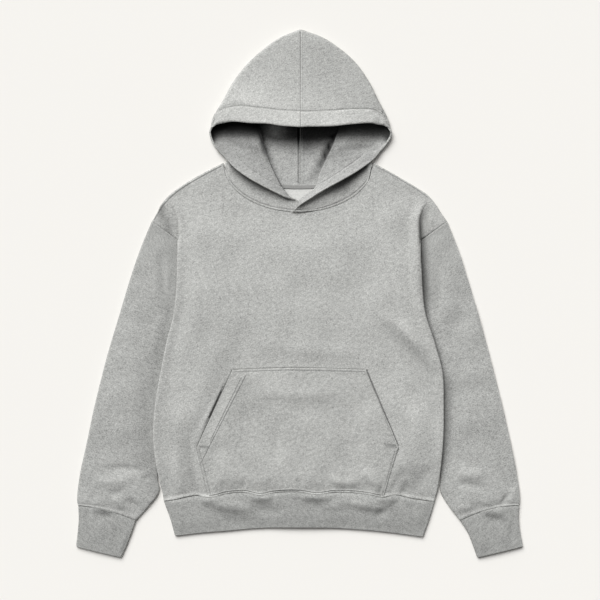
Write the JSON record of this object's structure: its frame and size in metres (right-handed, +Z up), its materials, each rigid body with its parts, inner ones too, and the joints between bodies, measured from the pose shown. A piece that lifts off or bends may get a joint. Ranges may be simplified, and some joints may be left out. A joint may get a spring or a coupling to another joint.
{
  "type": "pullover hoodie, laid flat",
  "caption": "Pullover hoodie in heather fleece, laid flat face up with the hood spread open, kangaroo pocket, ribbed cuffs and hem band.",
  "frame": {"origin": "centre of the garment's outline, on the surface it lies on", "axes": "+X to the viewer's right with the face up, +Y from the hem towards the hood, +Z up from the surface"},
  "size_m": [0.85, 1.0041, 0.0301],
  "materials": {
    "heather_fleece": "light grey heather sweatshirt fleece, matte",
    "rib_knit": "grey heather rib, matte",
    "neck_tape_twill": "grey twill tape, matte"
  },
  "bodies": {
    "root": {"front_body": "heather_fleece", "back_body": "heather_fleece", "sleeve_left": "heather_fleece", "sleeve_right": "heather_fleece", "cuff_left": "rib_knit", "cuff_right": "rib_knit", "waistband": "rib_knit", "pocket": "heather_fleece", "hood_left": "heather_fleece", "hood_right": "heather_fleece", "neck_tape": "neck_tape_twill"}
  },
  "joints": []
}
